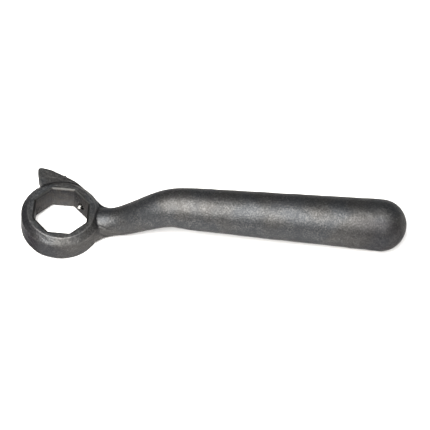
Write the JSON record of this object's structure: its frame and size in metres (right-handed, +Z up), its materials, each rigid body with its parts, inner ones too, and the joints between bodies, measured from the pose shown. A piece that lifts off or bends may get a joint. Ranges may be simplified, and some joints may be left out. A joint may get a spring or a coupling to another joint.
{
  "type": "fire hydrant wrench",
  "caption": "Offset hydrant wrench: cast ring with eight-sided socket, spanner horn, S-shaped neck, round tapered handle and a spring plunger in the socket wall.",
  "frame": {"origin": "on the socket's axis at the ring's lower face", "axes": "+Z up the socket's axis, the side to which the handle is offset; +X along the handle, away from the ring; +Y towards the spanner horn"},
  "size_m": [0.2835, 0.0718, 0.0546],
  "materials": {
    "cast_iron_body": "as-cast, tumbled, dark grey with a fine grainy sparkle",
    "black_oxide_steel": "black oxide",
    "bright_steel": "ground and polished",
    "spring_wire": "drawn wire"
  },
  "bodies": {
    "wrench": {"wrench_casting": "cast_iron_body", "plunger_sleeve": "black_oxide_steel", "plunger_spring": "spring_wire"},
    "plunger": {"plunger_pin": "bright_steel"}
  },
  "joints": [
    {"name": "plunger_press", "type": "slide", "parent": "wrench", "child": "plunger", "axis": [0.7071, 0.7071, 0], "range_m": [0, 0.0026], "stiffness_N_per_m": 1600, "deforming": ["plunger_spring"]}
  ]
}
